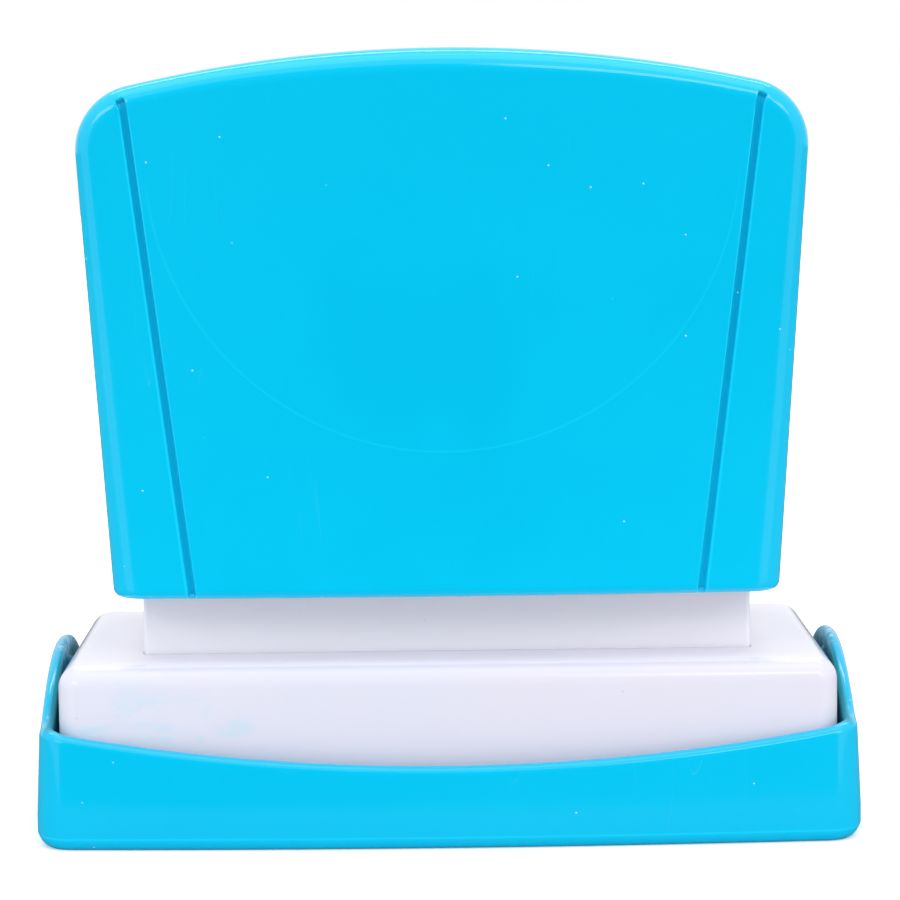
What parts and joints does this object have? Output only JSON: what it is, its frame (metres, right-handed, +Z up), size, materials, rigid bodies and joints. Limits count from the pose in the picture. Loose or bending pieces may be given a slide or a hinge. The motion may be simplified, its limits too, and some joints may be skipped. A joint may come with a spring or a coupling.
{
  "type": "pre-inked hand stamp",
  "caption": "Spring-return hand stamp: an arched hollow handle slides down over a rectangular neck on a white skirt, which stands in a shallow eared dust cap.",
  "frame": {"origin": "centre of the dust cap's underside, on the table", "axes": "+X along the stamp's width, to the right of the front; +Y to the back; +Z up, away from the paper"},
  "size_m": [0.08, 0.0414, 0.0759],
  "materials": {
    "coloured_shell": "glossy moulded cyan plastic",
    "white_shell": "glossy moulded cool white plastic",
    "inner_moulding": "satin light grey plastic",
    "screw_steel": "zinc plated screw steel",
    "spring_steel": "drawn spring wire",
    "ink_foam": "ink-soaked felt",
    "die_foam": "microporous foam rubber"
  },
  "bodies": {
    "cap": {"dust_cap": "coloured_shell"},
    "skirt": {"skirt": "white_shell", "guide_sleeve": "white_shell", "left_spring": "spring_steel", "right_spring": "spring_steel"},
    "handle": {"handle": "coloured_shell", "handle_core": "inner_moulding", "core_screws": "screw_steel", "die_carrier": "inner_moulding", "ink_reservoir": "ink_foam", "stamp_die": "die_foam", "die_frame": "inner_moulding"}
  },
  "joints": [
    {"name": "cap_release", "type": "slide", "parent": "cap", "child": "skirt", "axis": [0, 0, 1], "range_m": [0, 0.03]},
    {"name": "press", "type": "slide", "parent": "skirt", "child": "handle", "axis": [0, 0, -1], "range_m": [0, 0.005], "stiffness_N_per_m": 1500, "springref_m": -0.003, "deforming": ["left_spring", "right_spring"]}
  ]
}
